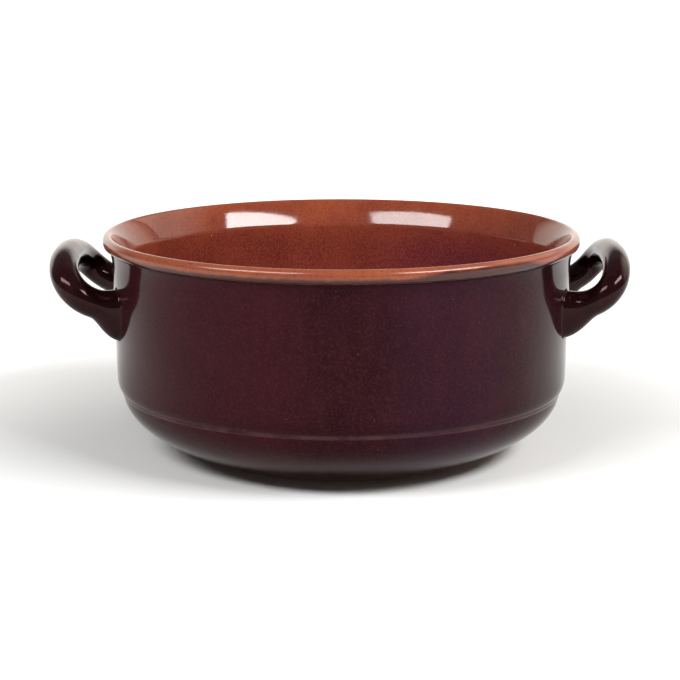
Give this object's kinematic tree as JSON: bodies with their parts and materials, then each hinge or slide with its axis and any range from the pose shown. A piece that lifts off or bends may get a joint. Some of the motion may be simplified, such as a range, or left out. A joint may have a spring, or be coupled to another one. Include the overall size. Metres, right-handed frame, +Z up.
{
  "type": "terracotta casserole",
  "caption": "Round lidless terracotta casserole with a rolled lip, clear-glazed inside, dark brown glazed outside and clay loop handles, for stewing on a hob or in an oven.",
  "frame": {"origin": "middle of the flat underside of the base", "axes": "+Z up along the pot's axis, +X through the right handle, camera side at -Y"},
  "size_m": [0.3372, 0.28, 0.1311],
  "materials": {
    "terracotta": "matte",
    "luting_slip": "matte",
    "clear_glaze": "gloss",
    "brown_glaze": "gloss"
  },
  "bodies": {
    "root": {"pot_body": "terracotta", "left_handle": "terracotta", "right_handle": "terracotta", "left_front_luting_slip": "luting_slip", "left_rear_luting_slip": "luting_slip", "right_front_luting_slip": "luting_slip", "right_rear_luting_slip": "luting_slip", "inner_clear_glaze": "clear_glaze", "wall_brown_glaze": "brown_glaze", "left_handle_brown_glaze": "brown_glaze", "right_handle_brown_glaze": "brown_glaze"}
  },
  "joints": []
}
